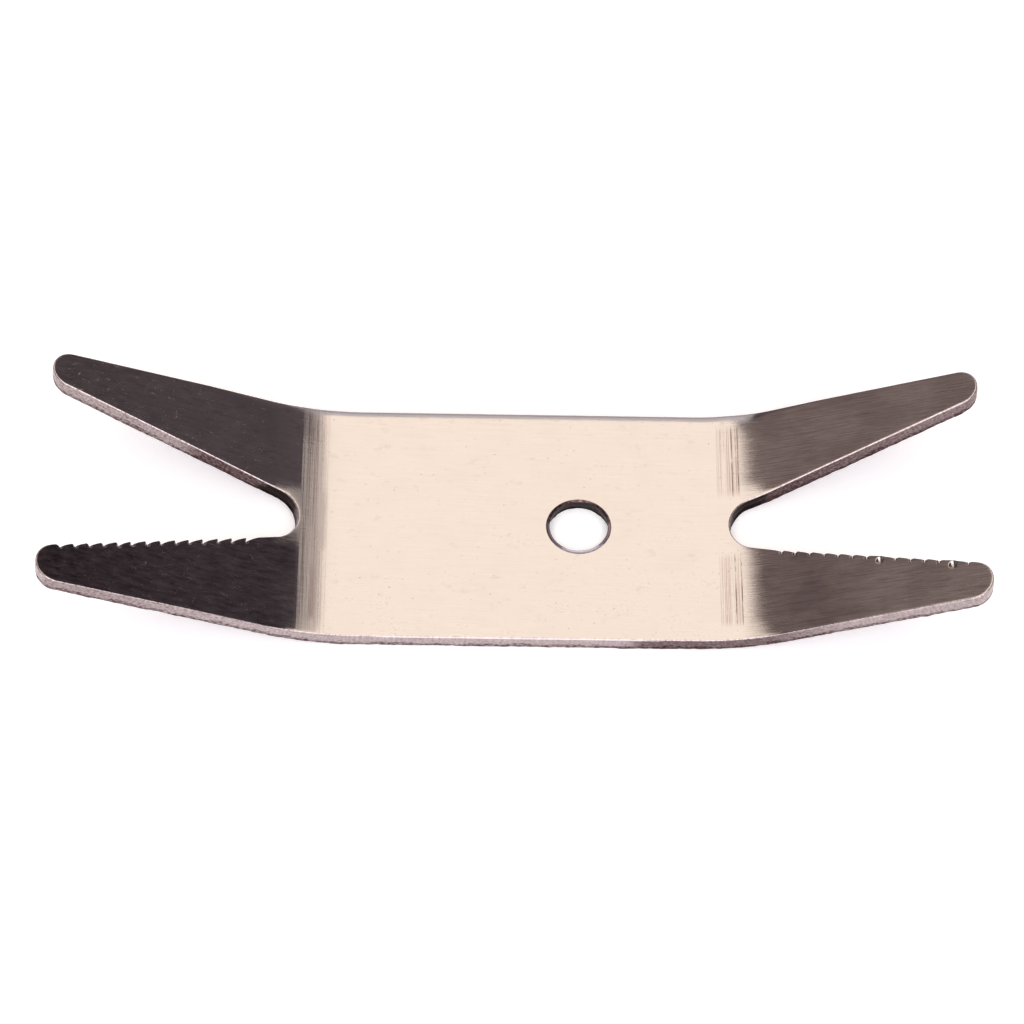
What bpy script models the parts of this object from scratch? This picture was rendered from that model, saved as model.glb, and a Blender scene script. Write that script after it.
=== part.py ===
"""Double-ended V-jaw spanner for control, jack and switch nuts: one stamped and bent steel plate.

The blank is a rectangle with a V notch cut into each end, so that each end is a fork of two
prongs. The prongs at -Y are toothed along their inner flank and those at +Y are smooth. A
hanging hole goes through the middle, off centre. The blank is then bent up across two lines,
so both forks rise from the flat middle that the tool rests on.

Metres. +X runs along the tool, towards the end nearer the hole, +Y across it, away from the
teeth, and +Z up. The origin is under the middle of the tool, level with its flat underside.
"""

import math

import bmesh
import bpy
from mathutils import Vector

# The flat blank. Its X is measured along the unbent plate from the middle.
WIDTH = 0.0349
THICKNESS = 0.00215
SMOOTH_PRONG_REACH = 0.0621
SMOOTH_TIP_RADIUS = 0.00255
TOOTHED_PRONG_REACH = 0.0624
TOOTHED_TIP_RADIUS = 0.0027

# How far the end wall of a tip leans in at the underside.
TIP_LEAN = 0.00055

# The round root of each V notch; the two flanks are tangent to it and to the tips.
ROOT_RADIUS = 0.00385
ROOT_CENTRE_X = 0.0320

# The saw teeth along the toothed flank, counted from the tip. Each steep side faces the root.
TOOTH_COUNT = 14
TOOTH_PITCH = 0.00196
LEFT_TOOTH_DEPTH = 0.00044
RIGHT_TOOTH_DEPTH = 0.00024
TOOTH_STEEP_RUN = 0.0005
FIRST_TOOTH = 0.0006

# The hanging hole. It is punched, so its rim is drawn down to a tight throat, and it widens
# again to the underside.
HOLE_X = 0.00845
HOLE_Y = -0.0003
HOLE_RIM_RADIUS = 0.00422
HOLE_THROAT_RADIUS = 0.00374
HOLE_THROAT_DEPTH = 0.0003
HOLE_FOOT_RADIUS = 0.00402

# The two bends: where the flat middle ends, measured from the middle, and how far each fork rises.
BEND_RADIUS = 0.0331
LEFT_FLAT = 0.01976
LEFT_ANGLE = math.radians(20.6)
RIGHT_FLAT = 0.02286
RIGHT_ANGLE = math.radians(21.0)

# How finely the round stretches are drawn.
TIP_STEPS = 14
ROOT_STEPS = 16
HOLE_STEPS = 48
BEND_STEPS = 10
WELD = 1e-6

COLLECTION = "v_jaw_spanner"
NODE = "spanner_plate"


def clear_scene():
    for old in list(bpy.data.objects):
        bpy.data.objects.remove(old)


def around(centre, radius, start, end, steps):
    """Points on an arc from one angle to another, both ends included."""
    angles = [start + (end - start) * i / steps for i in range(steps + 1)]
    return [centre + radius * Vector((math.cos(a), math.sin(a))) for a in angles]


def flank_heading(tip_centre, tip_radius, side):
    """The angle of the flank that runs from the root out to a tip.

    The tip and the root lie on opposite sides of their common tangent, so it turns away from
    the line of centres by the angle whose sine is the sum of the radii over their distance.
    """
    centres = tip_centre - Vector((ROOT_CENTRE_X, 0))
    line = math.atan2(centres.y, centres.x)
    turn = math.asin((tip_radius + ROOT_RADIUS) / centres.length)
    return line - side * turn


def toothed(start, end, inward, depth):
    """Points along the toothed flank, from the tip's end of it to the root's end.

    A tooth has its point on the flank, then drops steeply into a gullet on the root's side,
    from which the back of the next tooth rises.
    """
    along = (end - start).normalized()
    points = []
    for i in range(TOOTH_COUNT):
        point = start + along * (FIRST_TOOTH + i * TOOTH_PITCH)
        points.append(point)
        points.append(point + along * TOOTH_STEEP_RUN + inward * depth)
    points.append(start + along * (FIRST_TOOTH + TOOTH_COUNT * TOOTH_PITCH))
    return points


def tip_centres():
    """The centres of the smooth and the toothed tip's arcs at the +X end."""
    smooth = Vector((SMOOTH_PRONG_REACH - SMOOTH_TIP_RADIUS, WIDTH / 2 - SMOOTH_TIP_RADIUS))
    rough = Vector((TOOTHED_PRONG_REACH - TOOTHED_TIP_RADIUS, TOOTHED_TIP_RADIUS - WIDTH / 2))
    return smooth, rough


def end_outline(tooth_depth):
    """The outline of an end at +X, from the +Y edge round both prongs to the -Y edge."""
    smooth, rough = tip_centres()
    root = Vector((ROOT_CENTRE_X, 0))
    quarter = math.pi / 2
    smooth_flank = flank_heading(smooth, SMOOTH_TIP_RADIUS, 1)
    rough_flank = flank_heading(rough, TOOTHED_TIP_RADIUS, -1)

    outline = around(smooth, SMOOTH_TIP_RADIUS, quarter, smooth_flank - quarter, TIP_STEPS)
    root_start = smooth_flank + quarter
    root_end = rough_flank - quarter + 2 * math.pi
    root_arc = around(root, ROOT_RADIUS, root_start, root_end, ROOT_STEPS)
    rough_arc = around(
        rough, TOOTHED_TIP_RADIUS, rough_flank + quarter, -quarter, TIP_STEPS
    )
    inward = -Vector((math.cos(rough_flank + quarter), math.sin(rough_flank + quarter)))
    teeth = toothed(rough_arc[0], root_arc[-1], inward, tooth_depth)
    return outline + root_arc + teeth[::-1] + rough_arc


def blank_outline():
    """The whole outline: the +X end, then the -X end, mirrored."""
    right = end_outline(RIGHT_TOOTH_DEPTH)
    left = [Vector((-p.x, p.y)) for p in reversed(end_outline(LEFT_TOOTH_DEPTH))]
    return right + left


def closed_spline(curve, points):
    spline = curve.splines.new("POLY")
    spline.points.add(len(points) - 1)
    for target, point in zip(spline.points, points):
        target.co = (point.x, point.y, 0, 1)
    spline.use_cyclic_u = True


def flat_blank():
    """The blank as a closed mesh, lying with the middle of its thickness at Z = 0."""
    curve = bpy.data.curves.new("blank_outline", "CURVE")
    curve.dimensions = "2D"
    curve.fill_mode = "BOTH"
    curve.extrude = THICKNESS / 2
    closed_spline(curve, blank_outline())
    hole = around(Vector((HOLE_X, HOLE_Y)), HOLE_RIM_RADIUS, 0, 2 * math.pi, HOLE_STEPS)
    closed_spline(curve, hole[:-1])

    drawn = bpy.data.objects.new("blank_outline", curve)
    bpy.context.scene.collection.objects.link(drawn)
    seen = drawn.evaluated_get(bpy.context.evaluated_depsgraph_get())
    mesh = bpy.data.meshes.new_from_object(seen)
    bpy.data.objects.remove(drawn)
    bpy.data.curves.remove(curve)
    return mesh


def bent(point, flat, angle):
    """Where a point of the flat blank goes when the plate beyond flat is bent up by angle.

    The middle of the thickness keeps its length: it stays flat, follows the bend's arc, then
    runs straight on at the full angle.
    """
    side = math.copysign(1, point.x)
    beyond = abs(point.x) - flat
    if beyond <= 0:
        return point.copy()
    turned = min(beyond / BEND_RADIUS, angle)
    straight = beyond - BEND_RADIUS * turned
    radius = BEND_RADIUS - point.z
    x = flat + radius * math.sin(turned) + straight * math.cos(turned)
    z = BEND_RADIUS - radius * math.cos(turned) + straight * math.sin(turned)
    return Vector((side * x, point.y, z))


def lean_tips(shape):
    """Draws the underside of each tip's round end in, so that its end wall leans."""
    smooth, rough = tip_centres()
    for vertex in shape.verts:
        centre = smooth if vertex.co.y > 0 else rough
        outward = Vector((abs(vertex.co.x), vertex.co.y)) - centre
        if vertex.co.z > 0 or outward.x <= 0:
            continue
        outward.normalize()
        drawn_in = TIP_LEAN * outward.x * outward
        vertex.co.x -= math.copysign(drawn_in.x, vertex.co.x)
        vertex.co.y -= drawn_in.y


def shape_hole(shape):
    """Gives the straight hole its throat below the rim and its wider foot."""
    centre = Vector((HOLE_X, HOLE_Y))
    reach = HOLE_RIM_RADIUS + WELD
    level = THICKNESS / 2 - HOLE_THROAT_DEPTH
    wall = [f for f in shape.faces if all((v.co.xy - centre).length < reach for v in f.verts)]
    edges = list({edge for face in wall for edge in face.edges})
    bmesh.ops.bisect_plane(
        shape, geom=wall + edges, dist=WELD, plane_co=(0, 0, level), plane_no=(0, 0, 1)
    )
    for vertex in shape.verts:
        away = vertex.co.xy - centre
        if away.length > reach or vertex.co.z > level + WELD:
            continue
        radius = HOLE_FOOT_RADIUS if vertex.co.z < level - WELD else HOLE_THROAT_RADIUS
        vertex.co.xy = centre + away.normalized() * radius


def cut_bend_lines(shape, side, flat, angle):
    """Edges across the plate for it to bend along."""
    for i in range(BEND_STEPS + 1):
        x = side * (flat + BEND_RADIUS * angle * i / BEND_STEPS)
        bmesh.ops.bisect_plane(
            shape,
            geom=shape.verts[:] + shape.edges[:] + shape.faces[:],
            dist=WELD,
            plane_co=(x, 0, 0),
            plane_no=(1, 0, 0),
        )


def bend_and_place(mesh):
    """Bends both forks up, then puts the origin under the middle of the finished tool."""
    shape = bmesh.new()
    shape.from_mesh(mesh)
    bmesh.ops.remove_doubles(shape, verts=shape.verts, dist=WELD)
    lean_tips(shape)
    shape_hole(shape)
    cut_bend_lines(shape, -1, LEFT_FLAT, LEFT_ANGLE)
    cut_bend_lines(shape, 1, RIGHT_FLAT, RIGHT_ANGLE)
    for vertex in shape.verts:
        if vertex.co.x < 0:
            vertex.co = bent(vertex.co, LEFT_FLAT, LEFT_ANGLE)
        else:
            vertex.co = bent(vertex.co, RIGHT_FLAT, RIGHT_ANGLE)
    ends = [vertex.co.x for vertex in shape.verts]
    middle = (min(ends) + max(ends)) / 2
    bmesh.ops.translate(shape, verts=shape.verts, vec=(-middle, 0, THICKNESS / 2))
    bmesh.ops.recalc_face_normals(shape, faces=shape.faces)
    shape.to_mesh(mesh)
    shape.free()


def steel():
    """Brushed steel, a little warm in tone."""
    material = bpy.data.materials.new("plate_steel")
    material.use_nodes = True
    surface = material.node_tree.nodes["Principled BSDF"]
    surface.inputs["Base Color"].default_value = (0.42, 0.38, 0.37, 1)
    surface.inputs["Metallic"].default_value = 1.0
    surface.inputs["Roughness"].default_value = 0.34
    return material


def main():
    clear_scene()
    collection = bpy.data.collections.new(COLLECTION)
    bpy.context.scene.collection.children.link(collection)
    mesh = flat_blank()
    bend_and_place(mesh)
    mesh.name = NODE
    mesh.materials.clear()
    mesh.materials.append(steel())
    collection.objects.link(bpy.data.objects.new(NODE, mesh))


main()
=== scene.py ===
"""The looks of a double-ended V-jaw spanner: one stamped, bent and brushed steel plate.

The CAD plate is replaced by a finer one of the same dimensions. It is drawn flat in millimetres,
with the rolled edges, worn saw teeth and rough sheared walls that a press leaves, then bent up
at both ends and scaled to metres. On the flat blank X is called s, because bending keeps it.
Points of the outline are complex numbers, with s as the real part and Y as the imaginary one.
"""

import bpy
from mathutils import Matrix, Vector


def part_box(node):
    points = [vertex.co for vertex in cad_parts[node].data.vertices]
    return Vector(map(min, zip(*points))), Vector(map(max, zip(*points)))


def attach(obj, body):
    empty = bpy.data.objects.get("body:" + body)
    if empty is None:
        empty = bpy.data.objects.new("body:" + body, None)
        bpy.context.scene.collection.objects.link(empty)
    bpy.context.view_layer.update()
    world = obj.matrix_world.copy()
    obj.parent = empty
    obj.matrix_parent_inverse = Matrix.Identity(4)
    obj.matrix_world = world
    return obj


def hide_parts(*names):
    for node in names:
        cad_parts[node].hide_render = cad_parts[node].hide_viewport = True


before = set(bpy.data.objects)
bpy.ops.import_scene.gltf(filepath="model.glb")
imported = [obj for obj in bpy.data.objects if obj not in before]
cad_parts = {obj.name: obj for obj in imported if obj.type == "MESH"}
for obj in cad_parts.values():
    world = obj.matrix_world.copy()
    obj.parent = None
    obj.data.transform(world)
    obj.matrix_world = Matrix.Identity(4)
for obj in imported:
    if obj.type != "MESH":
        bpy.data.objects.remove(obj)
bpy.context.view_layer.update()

import math

import bpy
import numpy as np
from mathutils import Matrix, Vector
from mathutils.geometry import delaunay_2d_cdt

MM = 0.001

# The blank.
WIDTH = 34.9
THICKNESS = 2.15
SMOOTH_PRONG_REACH = 62.1
SMOOTH_TIP_RADIUS = 2.55
TOOTHED_PRONG_REACH = 62.4
TOOTHED_TIP_RADIUS = 2.7
# How far a tip's end wall leans in at the underside, and how the lean sets in down the wall.
TIP_LEAN = 0.55
TIP_LEAN_POWER = 1.5
ROOT_RADIUS = 3.85
ROOT_CENTRE = 32.0

# The saw teeth, counted from the tip. Each jaw gives its depth at the tip's end and the root's,
# how far the steep side runs along the flank at each, how far a point hooks towards the root at
# each, how round the corners are, and the dents behind the gullets: radius, depth, how far in.
TOOTH_COUNT = 14
TOOTH_PITCH = 1.96
FIRST_TOOTH = 0.6
LEFT_TEETH = dict(
    depth=(0.38, 0.5), run=(0.55, 0.05), hook=(0.0, 0.2), rounding=0.13, dent=(0.3, 0.24, 0.06)
)
RIGHT_TEETH = dict(
    depth=(0.13, 0.18), run=(0.5, 0.3), hook=(0.0, 0.0), rounding=0.2, dent=(0.3, 0.26, 0.2)
)
# The teeth of the +X jaw where the cutter dug a round pit instead of a notch: the pit's radius,
# depth and how far in it lies, and how far the edge stands up there.
PITTED_TEETH = (1, 6)
PIT = (0.62, 0.38, 0.55)
PITTED_TOOTH_RISE = 0.06
# The back of a tooth bulges: where, as a share of the way from the gullet to the next point, and
# how deep it still is there, as a share of the gullet's depth.
BACK_PLACE = 0.55
BACK_DEPTH = 0.35
# No two teeth are alike: by how much their sizes differ, and how far they wander.
SIZE_SPREAD = (0.85, 1.15)
TOOTH_WANDER = (-0.07, 0.07)

# The hanging hole is punched: rolled down at the rim, tight below it, wider at the underside.
# The punch came in slightly off the rim's centre, so the roll is wider on the -Y side.
HOLE_CENTRE = 8.45 - 0.3j
HOLE_RIM_RADIUS = 4.24
HOLE_THROAT_RADIUS = 3.76
HOLE_THROAT_OFFSET = 0.2j
HOLE_ROLL_DROP = 0.22
HOLE_ROLL_POWER = 1.3
HOLE_FOOT_BACK = 0.26

# The bends.
BEND_RADIUS = 33.1
LEFT_FLAT = 19.76
LEFT_ANGLE = math.radians(20.6)
RIGHT_FLAT = 22.86
RIGHT_ANGLE = math.radians(21.0)

# Edges: how round the top and bottom ones are, then how wide and deep the top face rolls over
# along them, and down to which height the walls follow it. The edge at +Y is rolled the most,
# less so out on the forks.
TOP_ROUNDING = 0.13
TOOTH_TOP_ROUNDING = 0.05
BOTTOM_ROUNDING = 0.09
TOOTH_BOTTOM_ROUNDING = 0.03
ROLL_WIDTH = 0.4
ROLL_DROP = 0.025
ROLL_FOOT = -0.2
FAR_EDGE_ROLL_WIDTH = 1.25
FAR_EDGE_ROLL_DROP = 0.17
FAR_EDGE_ROLL_ENDS = (26.0, 33.0)
FORK_ROLL_SHARE = 0.25
# Where the plate bends, its edges also fall away gently, over a greater width at +Y. In the
# notches only the smooth prong's edge does, from the root outwards.
CROWN_WIDTH = 2.8
FAR_CROWN_WIDTH = 5.0
CROWN_DROP = 0.12
CROWN_MIDDLE = 32.0
CROWN_REACH = 9.0
NOTCH_CROWN_START = 28.0
NOTCH_CROWN_FADE = (2.0, 2.5)

# The torn lower part of the walls: the height of its upper edge and how much that wanders, over
# how much height it sets in, how far it stands back, how uneven it is, and how much of all that
# the teeth's and the hole's walls show.
TEAR_HEIGHT = -0.05
TEAR_WANDER = 0.66
TEAR_FADE = 0.35
TEAR_BACK = 0.05
TEAR_UNEVENNESS = 0.025
TEETH_TEAR_SHARE = 0.15
HOLE_TEAR_SHARE = 0.7

# How often the random rows are smoothed.
COARSE_PASSES = 8
FINE_PASSES = 1
TEAR_PASSES = 12
EDGE_PASSES = 6

# How finely things are drawn. Each face has rings of points along its edges, given as how far
# in they lie and which of the edge's points they take, where 2 is every second one. A ring's
# point goes where it comes closer to another edge, and the grid keeps clear of the last ring.
EDGE_SPACING = 0.3
TOOTH_SPACING = 0.09
HOLE_SPACING = 0.2
TOP_SPACING = 0.55
TOP_RINGS = ((0.1, 1), (0.28, 1), (0.55, 2), (1.0, 2))
FOOT_SPACING = 0.9
FOOT_RINGS = ((0.15, 1), (0.5, 2))
RING_CLOSEST = 0.93
GRID_CLEARANCE = 0.6
GRID_REACH = 64
DENT_RINGS = (0, 0.25, 0.5, 0.7, 0.88, 1.0, 1.12)
DENT_SPACING = 0.1
DENT_TO_EDGE = 0.04
DENT_TO_OTHERS = 0.07
EDGE_ROWS = 5
WALL_ROWS = 8
FOOT_ROWS = 3
FIELD_SEED = 11
# How many points are measured against a loop at a time.
BLOCK = 2000

# The numbers of the plate's materials.
FACE, WALL, UNDERSIDE = 0, 1, 2


def arc(centre, radius, start, end, spacing):
    """Points on an arc from one angle to another, both ends included."""
    steps = max(2, round(abs(end - start) * radius / spacing))
    return centre + radius * np.exp(1j * np.linspace(start, end, steps + 1))


def line(start, end, spacing):
    """Points on a straight line, both ends included."""
    steps = max(1, round(abs(end - start) / spacing))
    return start + (end - start) * np.linspace(0, 1, steps + 1)


def resampled(points, spacing):
    """The same open run of points, evenly spaced."""
    run = np.concatenate([[0], np.cumsum(np.abs(np.diff(points)))])
    at = np.linspace(0, run[-1], max(2, round(run[-1] / spacing)) + 1)
    return np.interp(at, run, points.real) + 1j * np.interp(at, run, points.imag)


def averaged(values, reach):
    """Each value of an open row averaged with its neighbours up to reach places away."""
    padded = np.concatenate([[values[0]] * reach, values, [values[-1]] * reach])
    return np.convolve(padded, np.ones(2 * reach + 1) / (2 * reach + 1), "valid")


def flank_heading(tip_centre, tip_radius, side):
    """The angle of the flank that runs from the root out to a tip."""
    centres = tip_centre - ROOT_CENTRE
    turn = math.asin((tip_radius + ROOT_RADIUS) / abs(centres))
    return float(np.angle(centres)) - side * turn


def between(ends, share):
    """A value that goes evenly from one end's to the other's."""
    return ends[0] + share * (ends[1] - ends[0])


def tooth_corners(start, end, inward, kind, pitted, rng):
    """The corners of the worn teeth, from the tip's end of the flank to the root's.

    Also the deepest point of each gullet.
    """
    along = (end - start) / abs(end - start)
    corners = [start]
    gullets = []
    for i in range(TOOTH_COUNT):
        near_root = i / (TOOTH_COUNT - 1)
        depth = between(kind["depth"], near_root) * rng.uniform(*SIZE_SPREAD)
        run = between(kind["run"], near_root) * rng.uniform(*SIZE_SPREAD)
        hook = between(kind["hook"], near_root)
        place = FIRST_TOOTH + i * TOOTH_PITCH + rng.uniform(*TOOTH_WANDER)
        if i in pitted:
            depth = -PITTED_TOOTH_RISE
        point = start + along * (place + hook)
        foot = start + along * (place + run)
        back = foot + along * BACK_PLACE * (TOOTH_PITCH - run)
        corners += [point, foot + inward * depth, back + inward * depth * BACK_DEPTH]
        gullets.append(foot + inward * abs(depth))
    corners.append(start + along * (FIRST_TOOTH + TOOTH_COUNT * TOOTH_PITCH))
    corners.append(end)
    return np.array(corners), np.array(gullets)


def toothed_flank(start, end, inward, kind, pitted, rng):
    """The toothed flank from the tip's end to the root's, and its dents.

    A dent is a centre, a radius and a depth.
    """
    corners, gullets = tooth_corners(start, end, inward, kind, pitted, rng)
    fine_spacing = TOOTH_SPACING / 3
    reach = round(kind["rounding"] / fine_spacing / 2)
    rounded = averaged(resampled(corners, fine_spacing), reach)
    rounded[0], rounded[-1] = start, end
    dents = []
    for i, gullet in enumerate(gullets):
        radius, drop, back = PIT if i in pitted else kind["dent"]
        size = rng.uniform(*SIZE_SPREAD)
        dents.append((gullet + inward * back, radius * size, drop * size))
    return resampled(rounded, TOOTH_SPACING), dents


def tip_centres():
    """The centres of the smooth and the toothed tip's arcs at the +X end."""
    smooth = complex(SMOOTH_PRONG_REACH - SMOOTH_TIP_RADIUS, WIDTH / 2 - SMOOTH_TIP_RADIUS)
    rough = complex(TOOTHED_PRONG_REACH - TOOTHED_TIP_RADIUS, TOOTHED_TIP_RADIUS - WIDTH / 2)
    return smooth, rough


def end_outline(kind, pitted, rng):
    """The outline of an end at +X, from the +Y edge round both prongs to the -Y edge.

    With it, which points are teeth, and the dents behind them.
    """
    smooth, rough = tip_centres()
    quarter = math.pi / 2
    smooth_flank = flank_heading(smooth, SMOOTH_TIP_RADIUS, 1)
    rough_flank = flank_heading(rough, TOOTHED_TIP_RADIUS, -1)
    smooth_arc = arc(smooth, SMOOTH_TIP_RADIUS, quarter, smooth_flank - quarter, EDGE_SPACING)
    root_end = rough_flank - quarter + 2 * math.pi
    root_arc = arc(ROOT_CENTRE, ROOT_RADIUS, smooth_flank + quarter, root_end, EDGE_SPACING)
    rough_arc = arc(rough, TOOTHED_TIP_RADIUS, rough_flank + quarter, -quarter, EDGE_SPACING)
    inward = -np.exp(1j * (rough_flank + quarter))
    teeth, dents = toothed_flank(rough_arc[0], root_arc[-1], inward, kind, pitted, rng)
    runs = [
        smooth_arc,
        line(smooth_arc[-1], root_arc[0], EDGE_SPACING)[1:],
        root_arc[1:],
        teeth[::-1][1:],
        rough_arc[1:],
    ]
    rough_points = [np.full(len(run), i == 3) for i, run in enumerate(runs)]
    return np.concatenate(runs), np.concatenate(rough_points), dents


def blank_outline():
    """The closed outline, clockwise, with which points are teeth, and the dents behind them."""
    rng = np.random.default_rng(FIELD_SEED)
    right, right_teeth, dents = end_outline(RIGHT_TEETH, PITTED_TEETH, rng)
    left, left_teeth, left_dents = end_outline(LEFT_TEETH, (), rng)
    left = -np.conj(left[::-1])
    near = line(right[-1], left[0], EDGE_SPACING)[1:-1]
    far = line(left[-1], right[0], EDGE_SPACING)[1:-1]
    points = np.concatenate([right, near, left, far])
    plain = [np.zeros(len(near), bool), np.zeros(len(far), bool)]
    teeth = np.concatenate([right_teeth, plain[0], left_teeth[::-1], plain[1]])
    dents += [(-centre.conjugate(), radius, drop) for centre, radius, drop in left_dents]
    return points, teeth, dents


def hole_outline():
    """The hole's throat, counter-clockwise, with the plate on the same side as the outline's."""
    steps = round(2 * math.pi * HOLE_THROAT_RADIUS / HOLE_SPACING)
    circle = np.exp(2j * math.pi * np.arange(steps) / steps)
    return HOLE_CENTRE + HOLE_THROAT_OFFSET + HOLE_THROAT_RADIUS * circle


def outward(points):
    """Unit normals of a closed loop, pointing away from the plate."""
    tangent = np.roll(points, -1) - np.roll(points, 1)
    return 1j * tangent / np.abs(tangent)


def smoothed_round(values, passes):
    """Values around a closed loop, each averaged with its neighbours again and again."""
    for _ in range(passes):
        values = (np.roll(values, 1) + 2 * values + np.roll(values, -1)) / 4
    return values


def noise_rows(rng, rows, count, passes):
    """Rows of smooth random numbers around a closed loop, about 1 in size."""
    field = rng.normal(size=(rows, count))
    field = np.array([smoothed_round(row, passes) for row in field])
    return field / field.std()


def tip_lean(points):
    """How far each point's foot is drawn in, as a vector: only the tips' round ends lean."""
    smooth, rough = tip_centres()
    lean = np.zeros(len(points), complex)
    for centre, side in ((smooth, 1), (rough, -1)):
        away = np.abs(points.real) + 1j * points.imag - centre
        mask = (away.real > 0) & (points.imag * side > 0)
        unit = away[mask] / np.abs(away[mask])
        drawn = TIP_LEAN * unit.real * unit
        signs = np.sign(points.real[mask])
        lean[mask] = signs * drawn.real + 1j * drawn.imag
    return lean


def rounded_lip(roll):
    """Rows of (distance outward, height) over a rounded top edge, for every point of a loop."""
    turns = [math.pi / 2 * i / EDGE_ROWS for i in range(EDGE_ROWS + 1)]
    return [(-roll * (1 - math.sin(t)), THICKNESS / 2 - roll * (1 - math.cos(t))) for t in turns]


def punched_lip(throat):
    """The same rows where the punch drew the rim down into a shallow funnel."""
    width = HOLE_RIM_RADIUS - np.abs(throat - HOLE_CENTRE)
    rows = []
    for i in range(EDGE_ROWS + 1):
        share = i / EDGE_ROWS
        height = THICKNESS / 2 - HOLE_ROLL_DROP * share**HOLE_ROLL_POWER
        rows.append((-width * (1 - share), np.full(len(throat), height)))
    return rows


def wall_profile(lip, foot, foot_back):
    """The rows of the lip, then those down the wall and round its bottom edge.

    foot is the rounding of the bottom edge. Above it the wall goes back by foot_back.
    """
    rows = list(lip)
    out, top = lip[-1]
    bottom = -THICKNESS / 2 + foot
    for i in range(1, WALL_ROWS + 1):
        share = i / WALL_ROWS
        rows.append((out - foot_back * share, top + (bottom - top) * share))
    for i in range(1, FOOT_ROWS + 1):
        turn = math.pi / 2 * i / FOOT_ROWS
        inwards = foot_back + foot * (1 - math.cos(turn))
        rows.append((out - inwards, bottom - foot * math.sin(turn)))
    return rows


def wall_rows(points, profile, tear_share, rng):
    """Rings of points (s, y, z) down the wall of a closed loop.

    The upper part of a sheared wall is burnished by the punch. The lower part is torn, so it
    stands back a little and is uneven. tear_share is how much of that each point shows.
    """
    away = outward(points)
    coarse = noise_rows(rng, len(profile), len(points), COARSE_PASSES)
    fine = noise_rows(rng, len(profile), len(points), FINE_PASSES)
    wander = smoothed_round(rng.normal(size=len(points)), TEAR_PASSES)
    tear_line = TEAR_HEIGHT + TEAR_WANDER * wander
    lean = tip_lean(points)
    rings = []
    for row, (out, height) in enumerate(profile):
        torn = np.clip((tear_line - height) / TEAR_FADE, 0, 1)
        uneven = TEAR_UNEVENNESS * (coarse[row] + fine[row])
        out = out - torn * tear_share * (TEAR_BACK + uneven)
        foot = (THICKNESS / 2 - height) / THICKNESS
        flat = points + away * out - lean * foot**TIP_LEAN_POWER
        rings.append(np.stack([flat.real, flat.imag, height], axis=1))
    return np.array(rings)


def outline_wall(outline, teeth, rng):
    """The wall round the blank, with sharper and less torn edges along the teeth."""

    def either(on_teeth, elsewhere):
        return smoothed_round(np.where(teeth, on_teeth, elsewhere), EDGE_PASSES)

    roll = either(TOOTH_TOP_ROUNDING, TOP_ROUNDING)
    foot = either(TOOTH_BOTTOM_ROUNDING, BOTTOM_ROUNDING)
    profile = wall_profile(rounded_lip(roll), foot, 0.0)
    return wall_rows(outline, profile, either(TEETH_TEAR_SHARE, 1.0), rng)


def hole_wall(throat, rng):
    """The hole's wall, from the rim through the throat to the wider underside."""
    foot = np.full(len(throat), BOTTOM_ROUNDING)
    profile = wall_profile(punched_lip(throat), foot, HOLE_FOOT_BACK)
    return wall_rows(throat, profile, np.full(len(throat), HOLE_TEAR_SHARE), rng)


def distance_to(loops, points):
    """Each point's distance to the nearest of some closed loops."""
    nearest = np.full(len(points), np.inf)
    for loop in loops:
        step = np.roll(loop, -1) - loop
        for at in range(0, len(points), BLOCK):
            block = points[at : at + BLOCK, None] - loop[None, :]
            share = (block * np.conj(step)).real / np.abs(step) ** 2
            gap = np.abs(block - np.clip(share, 0, 1) * step).min(axis=1)
            nearest[at : at + BLOCK] = np.minimum(nearest[at : at + BLOCK], gap)
    return nearest


def inside(loops, points):
    """Which points are inside an odd number of the closed loops."""
    found = np.zeros(len(points), bool)
    for loop in loops:
        after = np.roll(loop, -1)
        for at in range(0, len(points), BLOCK):
            block = points[at : at + BLOCK, None]
            spans = (loop.imag > block.imag) != (after.imag > block.imag)
            rise = np.where(after.imag == loop.imag, 1e-12, after.imag - loop.imag)
            crossing = loop.real + (block.imag - loop.imag) * (after.real - loop.real) / rise
            hits = (spans & (block.real < crossing)).sum(axis=1)
            found[at : at + BLOCK] ^= hits % 2 == 1
    return found


def face_points(loops, insets, spacing):
    """Points inside a face: rings that follow its edges, then an even grid."""
    rings = []
    for inset, thinning in insets:
        for loop in loops:
            ring = (loop - outward(loop) * inset)[::thinning]
            rings.append(ring[distance_to(loops, ring) > RING_CLOSEST * inset])
    rings = np.concatenate(rings)

    rise = spacing * math.sqrt(3) / 2
    columns = np.arange(-GRID_REACH, GRID_REACH, spacing)
    rows = np.arange(-WIDTH / 2, WIDTH / 2, rise)
    s, y = np.meshgrid(columns, rows)
    s[1::2] += spacing / 2
    grid = (s + 1j * y).ravel()
    grid = grid[inside(loops, grid)]
    grid = grid[distance_to(loops, grid) > insets[-1][0] + GRID_CLEARANCE * spacing]
    rings = rings[inside(loops, rings)]
    return np.concatenate([rings, grid])


def triangles_between(loops, extra):
    """Triangles that fill the space between closed loops through extra points.

    The loops' points come first in the numbering, then the extra ones.
    """
    every = np.concatenate(list(loops) + [extra])
    edges = []
    first = 0
    for loop in loops:
        edges += [(first + i, first + (i + 1) % len(loop)) for i in range(len(loop))]
        first += len(loop)
    flat = [Vector((p.real, p.imag)) for p in every]
    _, _, faces, sources, _, _ = delaunay_2d_cdt(flat, edges, [], 0, 1e-6)
    number = np.array([source[0] for source in sources])
    faces = number[np.array([list(face) for face in faces])]
    middle = every[faces].mean(axis=1)
    return faces[inside(loops, middle)]


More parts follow.
